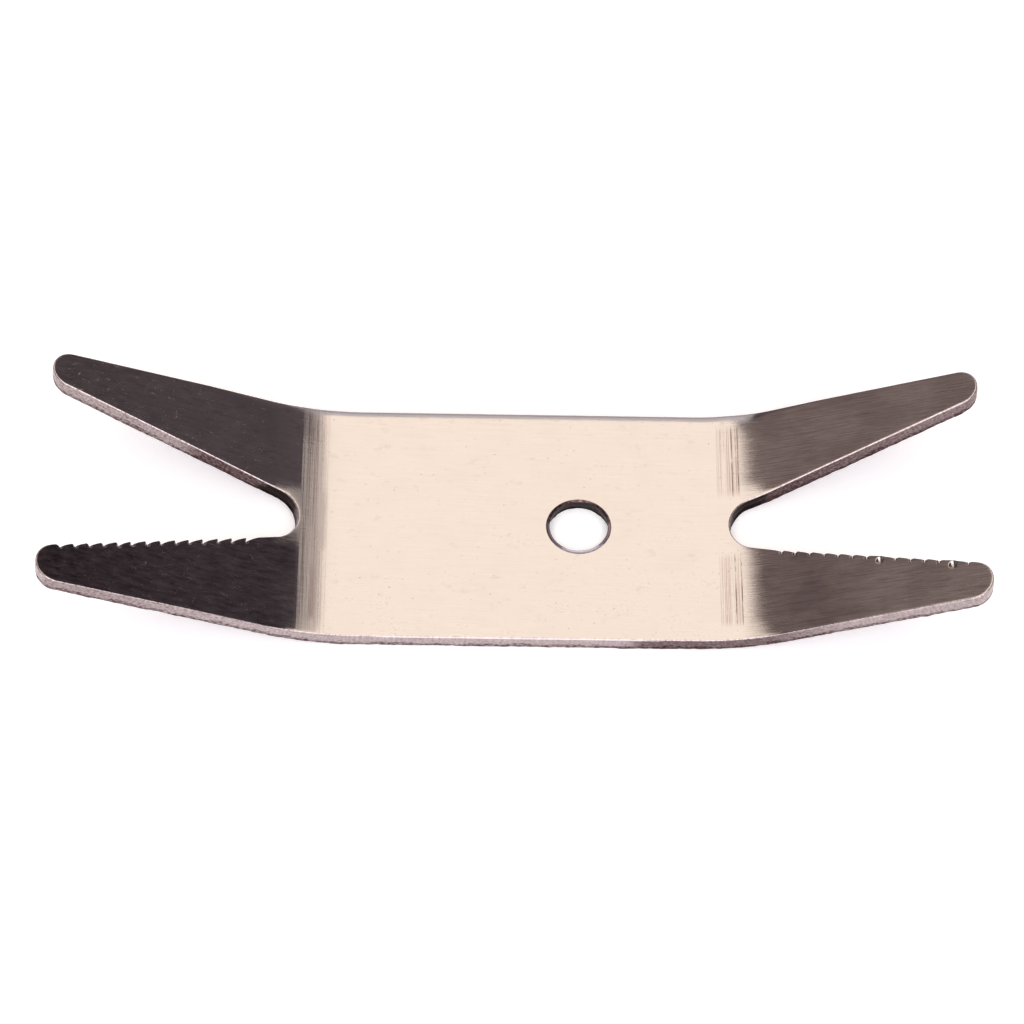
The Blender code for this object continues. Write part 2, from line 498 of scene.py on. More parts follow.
def dented(points, dents):
    """How deep the round dents in the top face are at each point."""
    depth = np.zeros(len(points))
    for centre, radius, drop in dents:
        away = np.abs(points - centre) / radius
        depth = np.maximum(depth, drop * np.clip(1 - away**2, 0, 1))
    return depth


def dent_points(dents):
    """Extra points of the top face, so that the dents are round."""
    found = []
    for centre, radius, _ in dents:
        for share in DENT_RINGS:
            count = max(1, round(2 * math.pi * share * radius / DENT_SPACING))
            ring = np.exp(2j * math.pi * np.arange(count) / count)
            found.append(centre + share * radius * ring)
    return np.concatenate(found)


def parabola(distance, width):
    """1 at no distance, falling smoothly to 0 at the width."""
    return np.clip(1 - distance / width, 0, 1) ** 2


def rolled(points, edges):
    """How far the top face is drawn down near its edges."""
    gap = distance_to(edges, points)
    from_far = WIDTH / 2 - points.imag
    from_near = WIDTH / 2 + points.imag
    along = np.abs(points.real)

    start, end = FAR_EDGE_ROLL_ENDS
    on_middle = np.clip((end - along) / (end - start), FORK_ROLL_SHARE, 1)
    drop = ROLL_DROP * parabola(gap, ROLL_WIDTH)
    drop += FAR_EDGE_ROLL_DROP * on_middle * parabola(from_far, FAR_EDGE_ROLL_WIDTH)

    fade_in, fade_across = NOTCH_CROWN_FADE
    in_notch = np.clip((along - NOTCH_CROWN_START) / fade_in, 0, 1)
    in_notch = in_notch * np.clip(points.imag / fade_across, 0, 1)
    crown = parabola(from_near, CROWN_WIDTH) + parabola(from_far, FAR_CROWN_WIDTH)
    crown += in_notch * parabola(gap, CROWN_WIDTH)
    at_bend = np.clip(1 - np.abs(along - CROWN_MIDDLE) / CROWN_REACH, 0, 1)
    return drop + CROWN_DROP * at_bend * crown


def bent(points):
    """Points (s, y, z) of the flat blank where they are once both ends are bent up."""
    s, y, z = points.T
    side = np.where(s < 0, -1.0, 1.0)
    flat = np.where(s < 0, LEFT_FLAT, RIGHT_FLAT)
    angle = np.where(s < 0, LEFT_ANGLE, RIGHT_ANGLE)
    beyond = np.maximum(np.abs(s) - flat, 0)
    turned = np.minimum(beyond / BEND_RADIUS, angle)
    straight = beyond - BEND_RADIUS * turned
    radius = BEND_RADIUS - z
    along = np.minimum(np.abs(s), flat)
    x = along + radius * np.sin(turned) + straight * np.cos(turned)
    height = BEND_RADIUS - radius * np.cos(turned) + straight * np.sin(turned)
    return np.stack([side * x, y, height], axis=1)


def top_points(loops, dents):
    """Points inside the top face, with rings of their own in the dents."""
    even = face_points(loops, TOP_RINGS, TOP_SPACING)
    in_dents = dent_points(dents)
    in_dents = in_dents[inside(loops, in_dents)]
    in_dents = in_dents[distance_to(loops, in_dents) > DENT_TO_EDGE]
    nearest = np.abs(even[:, None] - in_dents[None, :]).min(axis=1)
    return np.concatenate([even[nearest >= DENT_TO_OTHERS], in_dents])


def raised(points, height):
    """Points of the outline's plane at a height, as rows of (s, y, z)."""
    return np.stack([points.real, points.imag, np.full(len(points), height)], axis=1)


def wall_loop(wall, row):
    """One row of a wall as points of the outline's plane."""
    return wall[row, :, 0] + 1j * wall[row, :, 1]


def wall_faces(loop, numbers, flat):
    """A wall's four-sided faces, and (distance along the edge, z) at each of their corners."""
    length = np.concatenate([[0], np.cumsum(np.abs(np.roll(loop, -1) - loop))])
    heights = flat[numbers, 2]
    rows, around = numbers.shape
    faces = []
    skin = []
    for row in range(rows - 1):
        for i in range(around):
            for r, c in ((row, i), (row, i + 1), (row + 1, i + 1), (row + 1, i)):
                skin.append((length[c], heights[r, c % around]))
            after = (i + 1) % around
            faces.append(
                (numbers[row, i], numbers[row, after], numbers[row + 1, after], numbers[row + 1, i])
            )
    return faces, skin


def flat_faces(triangles, flat):
    """A face's triangles, and (s, y) at each of their corners."""
    skin = [(flat[v, 0], flat[v, 1]) for triangle in triangles for v in triangle]
    return [tuple(triangle) for triangle in triangles], skin


def flat_plate():
    """The plate before it is shaped: points (s, y, z), the outline, the dents and the faces.

    The faces come in groups: their material, the faces themselves and their skin.
    """
    rng = np.random.default_rng(FIELD_SEED + 1)
    outline, teeth, dents = blank_outline()
    throat = hole_outline()
    walls = [outline_wall(outline, teeth, rng), hole_wall(throat, rng)]
    top_loops = [wall_loop(wall, 0) for wall in walls]
    foot_loops = [wall_loop(wall, -1) for wall in walls]
    top = top_points(top_loops, dents)
    foot = face_points(foot_loops, FOOT_RINGS, FOOT_SPACING)

    # The walls' points come first, row by row, then the top face's and the underside's.
    half = THICKNESS / 2
    blocks = [wall.reshape(-1, 3) for wall in walls] + [raised(top, half), raised(foot, -half)]
    flat = np.concatenate(blocks)
    numbers = np.split(np.arange(len(flat)), np.cumsum([len(block) for block in blocks])[:-1])
    grids = [part.reshape(wall.shape[:2]) for part, wall in zip(numbers, walls)]
    top_numbers = np.concatenate([grids[0][0], grids[1][0], numbers[2]])
    foot_numbers = np.concatenate([grids[0][-1], grids[1][-1], numbers[3]])
    top_triangles = top_numbers[triangles_between(top_loops, top)]
    foot_triangles = foot_numbers[triangles_between(foot_loops, foot)]

    groups = [(WALL, *wall_faces(loop, grid, flat)) for loop, grid in zip((outline, throat), grids)]
    groups.append((FACE, *flat_faces(top_triangles, flat)))
    groups.append((UNDERSIDE, *flat_faces(foot_triangles[:, ::-1], flat)))
    return flat, outline, dents, groups


def shaped(flat, outline, dents):
    """The flat plate with its rolled edges and dents.

    The upper parts of the walls go down with the top face, less and less further down.
    """
    place = flat[:, 0] + 1j * flat[:, 1]
    upper = np.clip((flat[:, 2] - ROLL_FOOT) / (THICKNESS / 2 - ROLL_FOOT), 0, 1)
    result = flat.copy()
    result[:, 2] -= upper * (rolled(place, [outline]) + dented(place, dents))
    return result


def aligned(points):
    """The points moved so that their box has the CAD plate's middle in X and its foot in Z."""
    low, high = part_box("spanner_plate")
    moved = points.copy()
    moved[:, 0] += (low.x + high.x) / 2 - (points[:, 0].min() + points[:, 0].max()) / 2
    moved[:, 2] += low.z - points[:, 2].min()
    return moved


def plate_mesh():
    """The whole plate as one closed mesh, in metres, aligned with the CAD plate.

    Its UV map "place" holds (s, y) on the flat blank in millimetres. On the faces the map
    "skin" holds the same, and on the walls it holds (distance along the edge, z).
    """
    flat, outline, dents, groups = flat_plate()
    bodies = aligned(bent(shaped(flat, outline, dents)) * MM)
    faces = [tuple(int(v) for v in face) for _, some, _ in groups for face in some]
    skin = [pair for _, _, some in groups for pair in some]
    place = [(flat[v, 0], flat[v, 1]) for face in faces for v in face]
    materials = [material for material, some, _ in groups for _ in some]

    mesh = bpy.data.meshes.new("plate")
    mesh.from_pydata([tuple(point) for point in bodies], [], faces)
    for name, values in (("skin", skin), ("place", place)):
        layer = mesh.uv_layers.new(name=name)
        layer.data.foreach_set("uv", np.array(values, np.float32).ravel())
    mesh.polygons.foreach_set("material_index", np.array(materials, np.int32))
    mesh.shade_smooth()
    mesh.update()
    return mesh


# The colours of the steel, of what lies on it, and of the painted shade and painted highlight.
STEEL = (0.50, 0.45, 0.43, 1)
PALE_STEEL = (0.54, 0.485, 0.465, 1)
STREAK = (0.22, 0.17, 0.16, 1)
STAIN = (0.3, 0.24, 0.22, 1)
SMUDGE = (0.3, 0.26, 0.24, 1)
SPECK = (0.12, 0.08, 0.07, 1)
FILM_AND_SHADE = (0.07, 0.05, 0.06, 1)
RUBBED_RED = (0.22, 0.12, 0.105, 1)
RUBBED_DARK = (0.08, 0.04, 0.035, 1)
RUBBED_BROWN = (0.2, 0.08, 0.09, 1)
SHEARED = (0.38, 0.315, 0.32, 1)
SHEARED_PALE = (0.52, 0.44, 0.445, 1)
TORN = (0.07, 0.04, 0.045, 1)
TORN_PALE = (0.4, 0.33, 0.34, 1)
TORN_FOOT = (0.1, 0.06, 0.065, 1)
WALL_SPOT = (0.12, 0.07, 0.075, 1)
DARKENED_WALL = (0.055, 0.015, 0.018, 1)
BLACK_SHADE = (0.016, 0.008, 0.008, 1)
BURNISHED_RIM_HIGHLIGHT = (0.86, 0.78, 0.81, 1)
UNDERSIDE_STEEL = (0.43, 0.37, 0.37, 1)
UNDERSIDE_PALE = (0.56, 0.5, 0.49, 1)

# Where the press brake marked the top face at each bend, as ranges of s. The dark lines at the
# right one also have the width that they fade over.
RIGHT_LINES = (26.9, 29.5)
RIGHT_DARK_LINES = ((28.72, 28.78, 0.09), (29.55, 29.6, 0.08))
LEFT_LINES = (-28.0, -24.4)
LEFT_RUBBED = (-27.9, -25.3)
LEFT_DARK_LINE = (-26.2, -25.8)
# Where the left fork's film and painted shade end, the scuffed patch round its notch, and where
# both forks' own finish sets in.
LEFT_FILM_AND_SHADE_EDGE = (-28.6, -27.8)
LEFT_SCUFF = (-31.0, -25.0)
FORK_START = (29.0, 33.0)
# Between these the left side's wear gives way to the right's.
SIDES_PART = (-1.0, 1.0)
# The hole's walls all lie nearer to the middle than this, and the notches' lie further away.
HOLE_END = (18.0, 20.0)
# The grain runs along the plate but for this many degrees.
GRAIN_TURN = -2.5


class Nodes:
    """Shorthand for a material's node tree."""

    def __init__(self, name):
        self.material = bpy.data.materials.new(name)
        self.material.use_nodes = True
        self.tree = self.material.node_tree
        self.surface = self.tree.nodes["Principled BSDF"]
        self.uv, self.u, self.v = self.map("skin")

    def map(self, name):
        """A UV map, whole and as its two numbers."""
        uv = self.tree.nodes.new("ShaderNodeUVMap")
        uv.uv_map = name
        split = self.tree.nodes.new("ShaderNodeSeparateXYZ")
        self.tree.links.new(uv.outputs["UV"], split.inputs[0])
        return uv.outputs["UV"], split.outputs[0], split.outputs[1]

    def put(self, socket, value):
        if isinstance(value, bpy.types.NodeSocket):
            self.tree.links.new(value, socket)
        else:
            socket.default_value = value

    def math(self, operation, a, b=0.0, c=0.0, clamp=False):
        node = self.tree.nodes.new("ShaderNodeMath")
        node.operation = operation
        node.use_clamp = clamp
        for socket, value in zip(node.inputs, (a, b, c)):
            self.put(socket, value)
        return node.outputs[0]

    def times(self, first, *others):
        """All the values multiplied."""
        for other in others:
            first = self.math("MULTIPLY", first, other)
        return first

    def plus(self, value, weight, other):
        """weight times value, plus another value."""
        return self.math("MULTIPLY_ADD", value, weight, other)

    def centred(self, value):
        """A noise's value, about 0 instead of about a half."""
        return self.math("SUBTRACT", value, 0.5)

    def noise(self, stretch, detail=3.0, rough=0.55, shift=(0, 0), turn=0.0):
        """Noise over the skin, its cells 1/stretch millimetres along each axis, turned."""
        place = self.tree.nodes.new("ShaderNodeMapping")
        place.vector_type = "TEXTURE"
        self.tree.links.new(self.uv, place.inputs["Vector"])
        place.inputs["Scale"].default_value = (1 / stretch[0], 1 / stretch[1], 1)
        place.inputs["Rotation"].default_value = (0, 0, math.radians(turn))
        place.inputs["Location"].default_value = (*shift, 0)
        node = self.tree.nodes.new("ShaderNodeTexNoise")
        self.tree.links.new(place.outputs[0], node.inputs["Vector"])
        node.inputs["Scale"].default_value = 1.0
        node.inputs["Detail"].default_value = detail
        node.inputs["Roughness"].default_value = rough
        return node.outputs["Fac"]

    def scratches(self, turn, shift):
        """Thin scattered lines that lie near one direction."""
        wander = self.noise((0.22, 2.6), detail=0.0, shift=shift, turn=turn)
        off_line = self.math("ABSOLUTE", self.centred(wander))
        here = self.noise((0.4, 0.9), detail=1.0, shift=(shift[1], shift[0]), turn=turn)
        thin = self.ramp(off_line, 0.0, 0.011, 1.0, 0.0)
        return self.times(thin, self.ramp(here, 0.58, 0.66))

    def ramp(self, value, low, high, to_low=0.0, to_high=1.0):
        """A smooth step from one level below low to another above high."""
        node = self.tree.nodes.new("ShaderNodeMapRange")
        node.interpolation_type = "SMOOTHSTEP"
        self.put(node.inputs["Value"], value)
        for name, number in zip(
            ("From Min", "From Max", "To Min", "To Max"), (low, high, to_low, to_high)
        ):
            self.put(node.inputs[name], number)
        return node.outputs["Result"]

    def band(self, value, low, high, fade):
        """1 between low and high, fading to 0 over fade outside them."""
        rise = self.ramp(value, low - fade, low)
        fall = self.ramp(value, high, high + fade, 1.0, 0.0)
        return self.times(rise, fall)

    def mix(self, share, a, b):
        node = self.tree.nodes.new("ShaderNodeMix")
        node.data_type = "RGBA"
        self.put(node.inputs["Factor"], share)
        self.put(node.inputs[6], a)
        self.put(node.inputs[7], b)
        return node.outputs[2]

    def bump(self, height, distance, strength=1.0):
        node = self.tree.nodes.new("ShaderNodeBump")
        node.inputs["Distance"].default_value = distance
        node.inputs["Strength"].default_value = strength
        self.tree.links.new(height, node.inputs["Height"])
        self.tree.links.new(node.outputs[0], self.surface.inputs["Normal"])

    def set(self, name, value):
        self.put(self.surface.inputs[name], value)


def brake_lines(n, width, gaps):
    """Fine lines across the plate, as a press brake rubs into it, with some gaps in them."""
    lines = n.noise((1 / width, 0.045), detail=2.0, rough=0.6)
    whole = n.noise((1.0, 0.3), detail=4.0, rough=0.75, shift=(3, 3))
    return n.times(n.ramp(lines, 0.46, 0.6), n.ramp(whole, gaps - 0.1, gaps + 0.1))


def right_bend_marks(n, colour, off_edge):
    """Lines on both sides of the notch, two of them darker."""
    both_sides = n.times(n.ramp(n.math("ABSOLUTE", n.v), 4.0, 5.5), off_edge)
    red = n.times(brake_lines(n, 0.075, 0.38), n.band(n.u, *RIGHT_LINES, 0.4), both_sides, 0.5)
    colour = n.mix(red, colour, RUBBED_RED)
    strong = n.math("MAXIMUM", *[n.band(n.u, *place) for place in RIGHT_DARK_LINES])
    patchy = n.ramp(n.noise((0.4, 0.3), detail=3.0, rough=0.7, shift=(8, 2)), 0.34, 0.6)
    return n.mix(n.times(strong, patchy, both_sides, 0.8), colour, RUBBED_DARK)


def left_bend_marks(n, colour, lines, off_edge):
    """A whole band of lines, with a darker one in it that fades towards -Y."""
    lower = n.ramp(n.v, -8.5, -6.0, 1.0, 0.35)
    dark_line = n.times(n.band(n.u, *LEFT_DARK_LINE, 0.25), off_edge, lower)
    marks = n.plus(lines, 0.2, n.times(dark_line, 0.34))
    return n.mix(n.times(marks, n.band(n.u, *LEFT_LINES, 0.3)), colour, RUBBED_BROWN)


def bare_steel(n, grain, cloud, on_fork):
    """The steel's colour. The grain shows more on the forks, and most on the right ones."""
    fine_grain = n.noise((0.4, 16.0), detail=2.0, turn=GRAIN_TURN)
    shade = n.plus(grain, 0.6, n.times(cloud, 0.4))
    colour = n.mix(n.ramp(shade, 0.3, 0.7), STEEL, PALE_STEEL)
    streak = n.plus(grain, 0.5, n.times(fine_grain, 0.5))
    share = n.ramp(n.u, *SIDES_PART, 0.12, 0.6)
    colour = n.mix(n.times(n.ramp(streak, 0.36, 0.56, 1.0, 0.0), on_fork, share), colour, STREAK)
    return colour, n.plus(grain, 0.6, n.times(fine_grain, 0.4))


def handled(n, colour, cloud, stained):
    """Adds the stains, dusty smudges that are more at -Y, and small dark specks."""
    colour = n.mix(stained, colour, STAIN)
    dusty = n.noise((2.5, 3.5), detail=4.0, rough=0.8, shift=(6, 6))
    share = n.ramp(n.v, -12.0, 6.0, 0.4, 0.16)
    smudged = n.times(n.ramp(cloud, 0.5, 0.66), n.ramp(dusty, 0.48, 0.7), share)
    colour = n.mix(smudged, colour, SMUDGE)
    speck = n.noise((2.4, 2.4), detail=1.0, shift=(1, 9))
    return n.mix(n.times(n.ramp(speck, 0.73, 0.77), 0.45), colour, SPECK)


def film_and_painted_shade(n, cloud, on_left, on_fork):
    """How much the forks are darkened: painted shade on the left toothed prong most, then the left
    tips.

    The right toothed prong has a little painted shade near its bend, and a cloudy film darkens the
    forks everywhere.
    """
    mottle = n.noise((0.45, 1.5), detail=5.0, rough=0.75, shift=(4, 7))
    # Painted shade: the left toothed prong darkest, then the left tips. The cloud and mottle are
    # uneven tone.
    toothed = n.ramp(n.v, -3.5, -1.0, 0.5, 0.0)
    film_and_shade_share = n.math("ADD", toothed, n.ramp(n.u, -60.0, -38.0, 0.16, 0.0))
    film_and_shade_share = n.plus(n.centred(cloud), 0.9, film_and_shade_share)
    film_and_shade_share = n.plus(n.centred(mottle), 1.5, film_and_shade_share)
    film_and_shade_share = n.math("MULTIPLY", film_and_shade_share, on_left, clamp=True)
    # Painted shade on the right toothed prong by its bend.
    right_shade = n.times(n.band(n.u, 33.0, 38.0, 12.0), n.ramp(n.v, -5.0, -2.0, 0.26, 0.0))
    film_and_shade_share = n.plus(right_shade, on_fork, film_and_shade_share)
    return n.plus(n.ramp(cloud, 0.38, 0.6, 0.16, 0.0), on_fork, film_and_shade_share)


def face_roughness(n, grain, stained, lines, on_left, on_fork):
    """Smooth steel, rougher where it was rubbed at the left bend or scuffed round its notch.

    Scratches and flecks are on the forks only.
    """
    rubbed = n.times(n.band(n.u, *LEFT_RUBBED, 0.12), n.ramp(n.v, 9.0, 15.0, 1.0, 0.55))
    near_root = n.ramp(n.math("ABSOLUTE", n.v), 3.2, 5.6, 1.0, 0.0)
    scuffed = n.times(n.band(n.u, *LEFT_SCUFF, 1.0), near_root)
    rough = n.plus(grain, 0.12, 0.06)
    rough = n.plus(n.math("MAXIMUM", rubbed, scuffed), 0.19, rough)
    rough = n.plus(lines, n.times(rubbed, -0.09), rough)

    marks = n.ramp(n.noise((0.8, 4.5), detail=2.0, shift=(2, 4)), 0.62, 0.74, 0.0, 0.8)
    marks = n.times(marks, on_left)
    for turn, shift in ((38, (2, 5)), (-24, (9, 4)), (80, (5, 1))):
        marks = n.math("MAXIMUM", marks, n.scratches(turn, shift))
    rough = n.plus(n.times(marks, on_fork), n.ramp(n.u, *SIDES_PART, 0.24, 0.1), rough)
    return n.plus(stained, 0.3, rough)


def face_steel():
    """Brushed steel with the grain along the plate and the press brake's rub marks at the bends."""
    n = Nodes("face_steel")
    grain = n.noise((0.12, 5.0), detail=4.0, rough=0.7, turn=GRAIN_TURN)
    cloud = n.noise((0.16, 0.2), detail=3.0)
    stain = n.noise((0.35, 0.5), detail=5.0, rough=0.7, shift=(7, 3))
    stained = n.times(n.ramp(stain, 0.56, 0.76), 0.2)
    lines = brake_lines(n, 0.11, 0.3)
    on_fork = n.ramp(n.math("ABSOLUTE", n.u), *FORK_START)
    on_left = n.ramp(n.u, *LEFT_FILM_AND_SHADE_EDGE, 1.0, 0.0)
    off_edge = n.ramp(n.math("ABSOLUTE", n.v), 14.6, 15.8, 1.0, 0.0)

    colour, height = bare_steel(n, grain, cloud, on_fork)
    colour = handled(n, colour, cloud, stained)
    # Painted shade on the left toothed prong, the left tips and by the right bend, with a cloudy
    # film over the forks.
    colour = n.mix(film_and_painted_shade(n, cloud, on_left, on_fork), colour, FILM_AND_SHADE)
    colour = right_bend_marks(n, colour, off_edge)
    colour = left_bend_marks(n, colour, lines, off_edge)
    n.set("Base Color", colour)
    n.set("Metallic", 1.0)
    n.set("Roughness", face_roughness(n, grain, stained, lines, on_left, on_fork))
    n.bump(height, 0.00002, 0.35)
    return n.material


def notch_shade(n, s, y, away):
    """Painted shade along the smooth prongs' flanks, where they mirror the floor in the plate's
    shadow: near the root on the left, all along on the right.
    """
    right = n.ramp(s, *SIDES_PART)
    on_left = n.math("SUBTRACT", n.ramp(away, 41.5, 45.0, 0.88, 0.15), right, clamp=True)
    right_shade = n.times(n.ramp(away, 34.0, 58.0, 0.9, 0.62), right)
    inner = n.times(n.ramp(y, -3.5, 0.5), n.ramp(y, 16.9, 17.1, 1.0, 0.0))
    return n.times(n.math("ADD", on_left, right_shade), inner)


def near_darkening(n, s, y, away):
    """How much the outer wall at -Y is darkened: about the right bend, and a little at the left
    tip.
    """
    about_bend = n.times(n.ramp(away, 14.0, 17.0), n.ramp(away, 30.0, 46.0, 0.76, 0.1))
    about_bend = n.times(about_bend, n.ramp(s, *SIDES_PART))
    darkening = n.math("MAXIMUM", about_bend, n.ramp(s, -56.0, -36.0, 0.3, 0.0))
    return n.times(darkening, n.ramp(y, -17.2, -17.0, 1.0, 0.0))


def wall_shade_and_darkening(n, s, y):
    """How dark the walls are painted. In the hole and at the notches' roots they are black: painted
    shade, where they mirror the floor in the plate's shadow.

    It stops below the rim, but on the hole's far side it goes right up to it.
    """
    patch = n.noise((0.3, 0.9), detail=4.0, rough=0.7, shift=(2, 8))
    distance = n.math("ABSOLUTE", s)
    away = n.plus(n.centred(patch), 6.0, distance)
    hole = n.ramp(distance, *HOLE_END, 1.0, 0.0)
    # Painted shade: black at the notches' roots and in the hole.
    root = n.times(n.ramp(away, 31.5, 41.0, 1.0, 0.0), n.ramp(y, -1.0, 2.0))
    black_shade = n.times(n.math("MAXIMUM", root, hole), n.band(y, -12.0, 12.0, 1.0))
    dark = n.math("MAXIMUM", notch_shade(n, s, y, away), near_darkening(n, s, y, away))
    dark = n.math("MAXIMUM", dark, black_shade)
    below_rim = n.ramp(n.plus(hole, 0.2, n.v), 0.9, 1.0, 1.0, 0.0)
    to_rim = n.times(n.ramp(y, -0.3, 2.4), hole, 0.9)
    return n.times(dark, n.math("MAXIMUM", below_rim, to_rim))


def wall_steel():
    """A sheared wall: burnished and streaked across at the top, torn and spotted below."""
    n = Nodes("wall_steel")
    _, s, y = n.map("place")
    drag = n.noise((3.0, 0.5), detail=3.0, rough=0.6)
    torn = n.noise((2.2, 3.0), detail=4.0, rough=0.7, shift=(5, 5))
    patch = n.noise((0.25, 0.5), detail=3.0, rough=0.7, shift=(2, 8))
    lower = n.ramp(n.plus(n.centred(patch), 2.2, n.v), -0.65, -0.3, 1.0, 0.0)
    # Painted shade in the hole, at the notches' roots and along the smooth prongs' flanks, and the
    # outer wall at -Y darkened about the right bend.
    darkening = wall_shade_and_darkening(n, s, y)

    colour = n.mix(n.ramp(drag, 0.3, 0.7), SHEARED, SHEARED_PALE)
    torn_colour = n.mix(n.ramp(torn, 0.42, 0.6), TORN, TORN_PALE)
    colour = n.mix(n.times(lower, 0.85), colour, torn_colour)
    ragged = n.plus(n.centred(torn), 1.6, n.v)
    colour = n.mix(n.ramp(ragged, -1.0, -0.75, 0.75, 0.0), colour, TORN_FOOT)
    spots = n.times(n.ramp(torn, 0.38, 0.5, 1.0, 0.0), n.ramp(s, -48.0, -20.0, 0.75, 0.45))
    colour = n.mix(spots, colour, WALL_SPOT)
    # The painted shade and darkening, mottled, then black where it is strongest.
    mottled_darkening = n.times(darkening, n.ramp(torn, 0.45, 0.65, 1.0, 0.6))
    colour = n.mix(mottled_darkening, colour, DARKENED_WALL)
    colour = n.mix(n.ramp(darkening, 0.86, 1.0), colour, BLACK_SHADE)

    # A painted highlight on the burnished rounding: the brightest are the near side of the hole's
    # rim and the flat middle's near edge.
    on_middle = n.ramp(n.math("ABSOLUTE", s), 16.0, 18.0, 1.0, 0.0)
    clean = n.ramp(darkening, 0.0, 0.2, 1.0, 0.0)
    near_side = n.ramp(y, 0.8, 1.2, 1.0, 0.0)
    rim_highlight = n.times(n.band(n.v, 0.88, 1.0, 0.03), on_middle, clean, near_side)
    n.set("Base Color", n.mix(rim_highlight, colour, BURNISHED_RIM_HIGHLIGHT))
    n.set("Metallic", 1.0)
    rough = n.plus(lower, 0.2, n.ramp(n.v, 0.8, 0.88, 0.28, 0.12))
    n.set("Roughness", n.plus(darkening, 0.25, rough))
    n.bump(n.plus(torn, lower, n.times(drag, 0.3)), 0.00006, 0.8)
    return n.material


def underside_steel():
    """The face that the burr is on: the same sheet, brushed and not rubbed by the press brake."""
    n = Nodes("underside_steel")
    grain = n.noise((0.09, 6.0), detail=4.0, rough=0.65)
    cloud = n.noise((0.14, 0.18), detail=3.0, shift=(4, 1))
    shade = n.plus(grain, 0.5, n.times(cloud, 0.5))
    n.set("Base Color", n.mix(n.ramp(shade, 0.3, 0.7), UNDERSIDE_STEEL, UNDERSIDE_PALE))
    n.set("Metallic", 1.0)
    n.set("Roughness", n.plus(grain, 0.12, 0.2))
    n.bump(grain, 0.00002, 0.4)
    return n.material


def make_plate():
    """The plate, with its materials in the order that FACE, WALL and UNDERSIDE number them."""
    plate = bpy.data.objects.new("plate", plate_mesh())
    for material in (face_steel(), wall_steel(), underside_steel()):
        plate.data.materials.append(material)
    bpy.context.scene.collection.objects.link(plate)
    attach(plate, "root")
    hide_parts("spanner_plate")


def floor_paper():
    """A white light table: lit a little from below, and very slightly uneven in tone."""
    n = Nodes("floor_paper")
    place = n.tree.nodes.new("ShaderNodeTexCoord")
    noise = n.tree.nodes.new("ShaderNodeTexNoise")
    noise.inputs["Scale"].default_value = 40
    n.tree.links.new(place.outputs["Object"], noise.inputs["Vector"])
    n.set("Base Color", n.mix(noise.outputs["Fac"], (0.93, 0.93, 0.94, 1), (0.95, 0.95, 0.96, 1)))
    n.set("Roughness", 0.9)
    n.set("Specular IOR Level", 0.0)
    n.set("Emission Color", (1.0, 0.99, 1.0, 1))
    n.set("Emission Strength", 0.3)
    return n.material


def make_floor():
    """The plane that the plate lies on."""
    mesh = bpy.data.meshes.new("floor")
    mesh.from_pydata([(-3, -3, 0), (3, -3, 0), (3, 3, 0), (-3, 3, 0)], [], [(0, 1, 2, 3)])
    mesh.materials.append(floor_paper())
    floor = bpy.data.objects.new("floor", mesh)
    bpy.context.scene.collection.objects.link(floor)


def glow(name, colour, strength):
    """A material that only gives off light."""
    material = bpy.data.materials.new(name)
    material.use_nodes = True
    tree = material.node_tree
    tree.nodes.clear()
    emission = tree.nodes.new("ShaderNodeEmission")
    emission.inputs["Color"].default_value = (*colour, 1)
    emission.inputs["Strength"].default_value = strength
    out = tree.nodes.new("ShaderNodeOutputMaterial")
    tree.links.new(emission.outputs[0], out.inputs[0])
    return material


def panel(name, elevation, distance, corners, colour, strength, azimuth=0.0):
    """A lit panel facing the plate. Its corners are (across, up) in its own plane.

    Elevation is its axis's, in degrees, and azimuth turns it about the plate from +Y to -X.
    """
    tilt = math.radians(elevation)
    back = Vector((0, math.cos(tilt), math.sin(tilt)))
    top = Vector((0, -math.sin(tilt), math.cos(tilt)))
    side = Vector((1, 0, 0))
    turn = Matrix.Rotation(math.radians(azimuth), 3, "Z")
    points = [turn @ (back * distance + side * across + top * up) for across, up in corners]
    mesh = bpy.data.meshes.new(name)
    mesh.from_pydata(points, [], [range(len(points))])
    mesh.materials.append(glow(name, colour, strength))
    lamp = bpy.data.objects.new(name, mesh)
    bpy.context.scene.collection.objects.link(lamp)
    lamp.visible_camera = False


def rectangle(across, up):
    """A panel's corners, from its ranges across and up."""
    return [(across[0], up[0]), (across[1], up[0]), (across[1], up[1]), (across[0], up[1])]


# The overhead panel widens upwards, so that edges which lean towards -Y stay bright for longer.
OVERHEAD_CORNERS = [
    (-0.14, -0.42),
    (0.2, -0.42),
    (0.208, -0.18),
    (0.42, 0.03),
    (0.42, 0.75),
    (-0.5, 0.75),
    (-0.5, 0.0),
    (-0.275, -0.25),
]


def make_lights():
    """Soft panels that the steel mirrors: above, to the side, in front and behind."""
    panel("overhead_panel", 70, 0.9, OVERHEAD_CORNERS, (1.0, 0.925, 0.82), 1.8)
    side = rectangle((-0.25, 0.45), (-0.3, 0.3))
    panel("side_panel", 45, 1.1, side, (1.0, 0.81, 0.785), 0.335, azimuth=52)
    front = rectangle((-0.6, 0.6), (-0.9, 0.8))
    panel("front_panel", 45, 1.3, front, (0.98, 0.97, 1.0), 3.0, azimuth=180)
    # Three strips behind the plate, that its rolled edges reflect.
    strip = rectangle((-0.32, 0.32), (-0.158, 0.158))
    panel("low_back_panel", 9, 1.2, strip, (1.0, 0.95, 1.0), 0.98)
    panel("middle_back_panel", 24, 1.2, strip, (0.97, 0.95, 1.0), 0.62)
    panel("high_back_panel", 38, 1.2, strip, (0.98, 0.96, 1.0), 0.92)
    make_room()
    bpy.context.scene.view_settings.view_transform = "Standard"


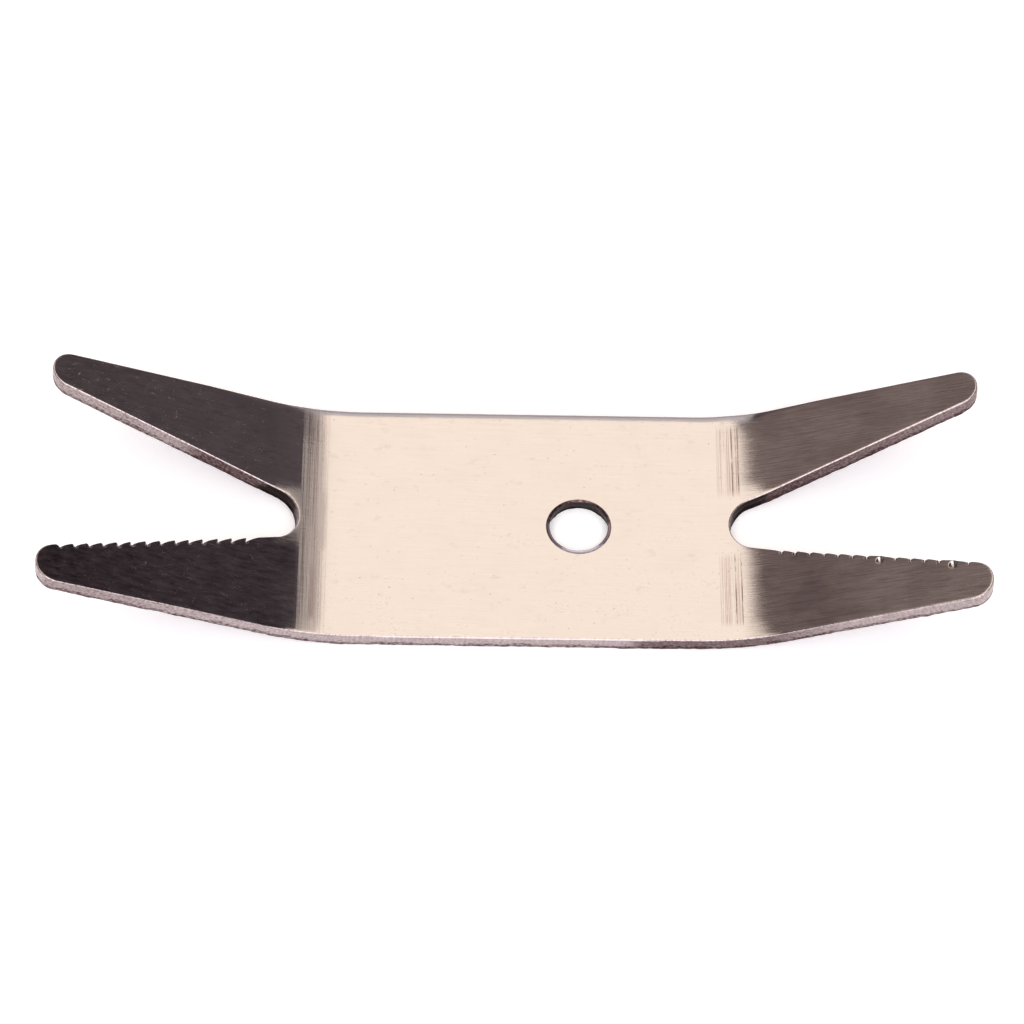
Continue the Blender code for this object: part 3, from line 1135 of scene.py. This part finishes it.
def make_room():
    """A dim room, a little lighter towards the horizon, behind a plain pale backdrop."""
    world = bpy.data.worlds.new("room")
    world.use_nodes = True
    tree = world.node_tree
    direction = tree.nodes.new("ShaderNodeTexCoord")
    split = tree.nodes.new("ShaderNodeSeparateXYZ")
    tree.links.new(direction.outputs["Generated"], split.inputs[0])
    level = tree.nodes.new("ShaderNodeMapRange")
    level.inputs["From Min"].default_value = 0.1
    level.inputs["From Max"].default_value = 0.55
    level.inputs["To Min"].default_value = 0.3
    level.inputs["To Max"].default_value = 0.135
    tree.links.new(split.outputs["Z"], level.inputs["Value"])
    dim = tree.nodes["Background"]
    dim.inputs["Color"].default_value = (1.0, 0.84, 0.95, 1)
    tree.links.new(level.outputs["Result"], dim.inputs["Strength"])

    pale = tree.nodes.new("ShaderNodeBackground")
    pale.inputs["Color"].default_value = (0.93, 0.93, 0.94, 1)
    seen = tree.nodes.new("ShaderNodeLightPath")
    either = tree.nodes.new("ShaderNodeMixShader")
    tree.links.new(seen.outputs["Is Camera Ray"], either.inputs[0])
    tree.links.new(dim.outputs[0], either.inputs[1])
    tree.links.new(pale.outputs[0], either.inputs[2])
    tree.links.new(either.outputs[0], tree.nodes["World Output"].inputs["Surface"])
    bpy.context.scene.world = world


# The camera, in metres and degrees: it looks at the plate's middle from in front and above.
CAMERA_TARGET = Vector((-0.000225, 0.00254, 0.001075))
CAMERA_DISTANCE = 0.5274
CAMERA_ELEVATION = math.radians(56.2505)
CAMERA_AZIMUTH = math.radians(-1.8472)
CAMERA_ROLL = math.radians(2.3951)
CAMERA_LENS = 142.585


def make_camera():
    """The scene's camera, placed by its azimuth, elevation and roll."""
    across, rise, roll = CAMERA_AZIMUTH, CAMERA_ELEVATION, CAMERA_ROLL
    back = Vector(
        (math.sin(across) * math.cos(rise), -math.cos(across) * math.cos(rise), math.sin(rise))
    )
    right = Vector((0, 0, 1)).cross(back).normalized()
    up = back.cross(right)
    level_right = math.cos(roll) * right + math.sin(roll) * up
    level_up = math.cos(roll) * up - math.sin(roll) * right
    data = bpy.data.cameras.new("camera")
    data.lens = CAMERA_LENS
    data.sensor_width = 36
    data.clip_start = 0.01
    camera = bpy.data.objects.new("camera", data)
    turned = Matrix((level_right, level_up, back)).transposed().to_4x4()
    camera.matrix_world = Matrix.Translation(CAMERA_TARGET + back * CAMERA_DISTANCE) @ turned
    bpy.context.scene.collection.objects.link(camera)
    bpy.context.scene.camera = camera


make_camera()
make_lights()
make_floor()
make_plate()
